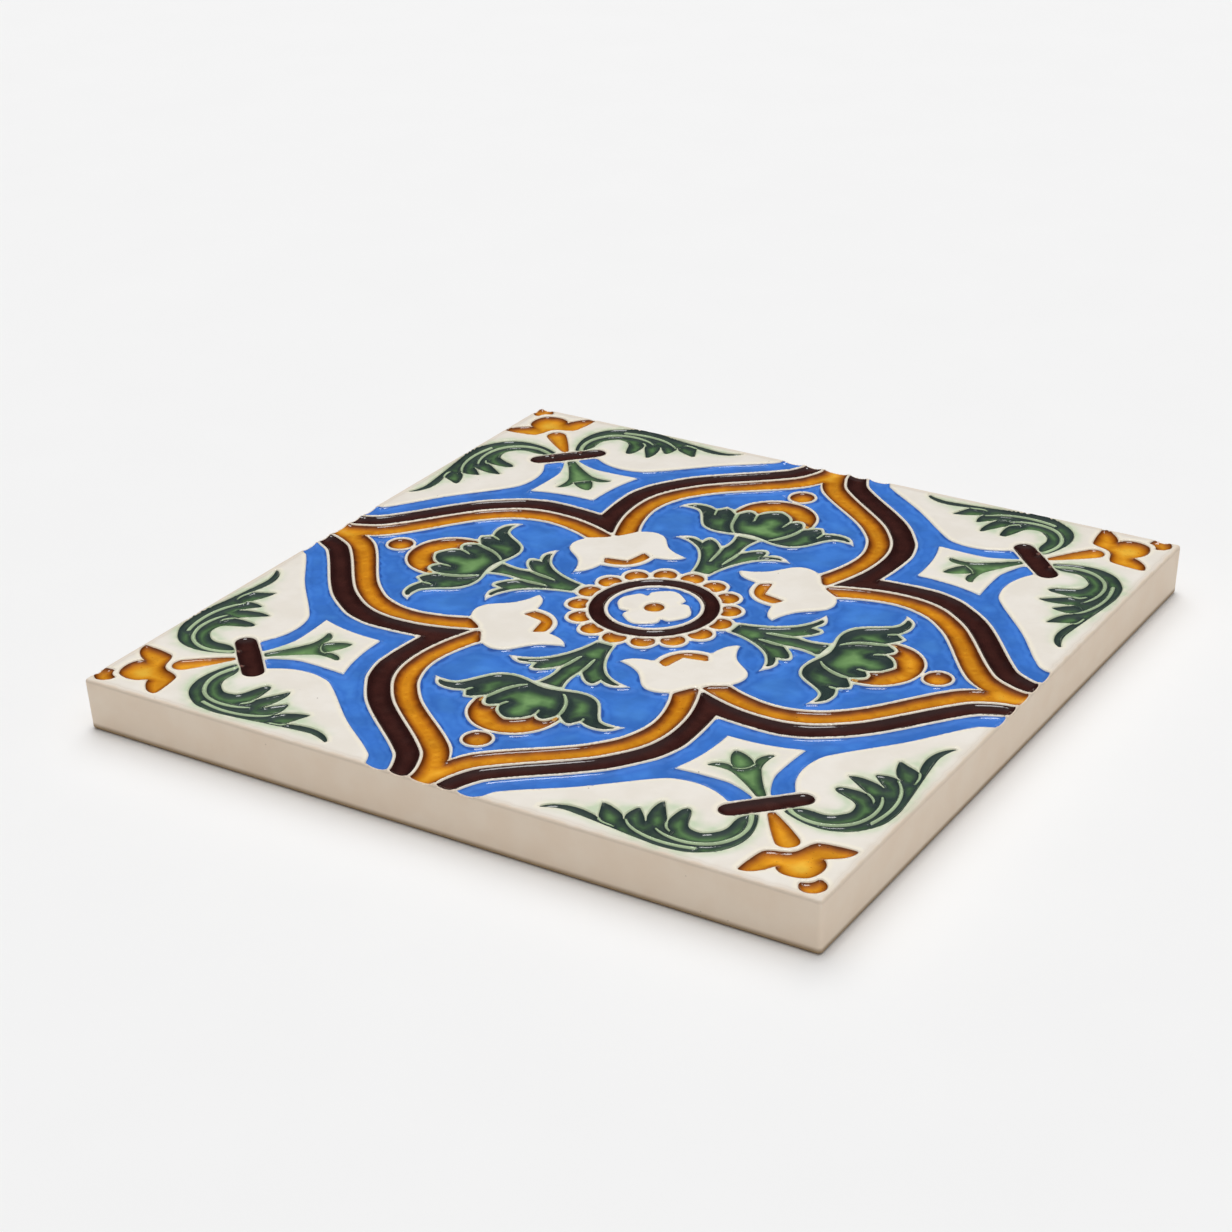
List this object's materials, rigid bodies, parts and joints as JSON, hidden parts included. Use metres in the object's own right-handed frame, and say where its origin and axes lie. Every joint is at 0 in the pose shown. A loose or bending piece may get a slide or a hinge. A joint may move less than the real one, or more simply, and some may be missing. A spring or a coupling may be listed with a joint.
{
  "type": "relief tile",
  "caption": "Square earthenware wall tile with a moulded relief of raised lines that hold pools of coloured glaze in a mirrored floral pattern, and a plain keyed back.",
  "frame": {"origin": "centre of the flat back, on the plane the tile rests on", "axes": "+Z out of the back towards the glazed face, X and Y along the sides; the face is the same seen from all four sides"},
  "size_m": [0.14, 0.14, 0.0095],
  "materials": {
    "cream_glazed_biscuit": "glossy cream glaze on the face, bare matt biscuit on the sides and back",
    "blue_glaze": "glossy",
    "brown_glaze": "glossy",
    "amber_glaze": "glossy",
    "green_glaze": "glossy"
  },
  "bodies": {
    "root": {"tile_body": "cream_glazed_biscuit", "field_blue_glaze": "blue_glaze", "rosette_blue_glaze": "blue_glaze", "ring_brown_glaze": "brown_glaze", "button_amber_glaze": "amber_glaze", "lobe_amber_glaze_back": "amber_glaze", "lobe_amber_glaze_right": "amber_glaze", "lobe_amber_glaze_front": "amber_glaze", "lobe_amber_glaze_left": "amber_glaze", "bud_amber_glaze_back": "amber_glaze", "bud_amber_glaze_right": "amber_glaze", "bud_amber_glaze_front": "amber_glaze", "bud_amber_glaze_left": "amber_glaze", "calyx_green_glaze_back": "green_glaze", "calyx_green_glaze_right": "green_glaze", "calyx_green_glaze_front": "green_glaze", "calyx_green_glaze_left": "green_glaze", "stem_green_glaze_back": "green_glaze", "stem_green_glaze_right": "green_glaze", "stem_green_glaze_front": "green_glaze", "stem_green_glaze_left": "green_glaze", "border_brown_glaze_back_right": "brown_glaze", "border_brown_glaze_front_right": "brown_glaze", "border_brown_glaze_front_left": "brown_glaze", "border_brown_glaze_back_left": "brown_glaze", "border_blue_glaze_back_right": "blue_glaze", "border_blue_glaze_front_right": "blue_glaze", "border_blue_glaze_front_left": "blue_glaze", "border_blue_glaze_back_left": "blue_glaze", "tulip_amber_glaze_back_right": "amber_glaze", "tulip_amber_glaze_front_right": "amber_glaze", "tulip_amber_glaze_front_left": "amber_glaze", "tulip_amber_glaze_back_left": "amber_glaze", "sprig_green_glaze_back_right": "green_glaze", "sprig_green_glaze_front_right": "green_glaze", "sprig_green_glaze_front_left": "green_glaze", "sprig_green_glaze_back_left": "green_glaze", "clasp_brown_glaze_back_right": "brown_glaze", "clasp_brown_glaze_front_right": "brown_glaze", "clasp_brown_glaze_front_left": "brown_glaze", "clasp_brown_glaze_back_left": "brown_glaze", "teardrop_amber_glaze_back_right": "amber_glaze", "teardrop_amber_glaze_front_right": "amber_glaze", "teardrop_amber_glaze_front_left": "amber_glaze", "teardrop_amber_glaze_back_left": "amber_glaze", "fleur_amber_glaze_back_right": "amber_glaze", "fleur_amber_glaze_front_right": "amber_glaze", "fleur_amber_glaze_front_left": "amber_glaze", "fleur_amber_glaze_back_left": "amber_glaze", "leaf_one_green_glaze_back_right": "green_glaze", "leaf_one_green_glaze_front_right": "green_glaze", "leaf_one_green_glaze_front_left": "green_glaze", "leaf_one_green_glaze_back_left": "green_glaze", "leaf_two_green_glaze_back_right": "green_glaze", "leaf_two_green_glaze_front_right": "green_glaze", "leaf_two_green_glaze_front_left": "green_glaze", "leaf_two_green_glaze_back_left": "green_glaze"}
  },
  "joints": []
}
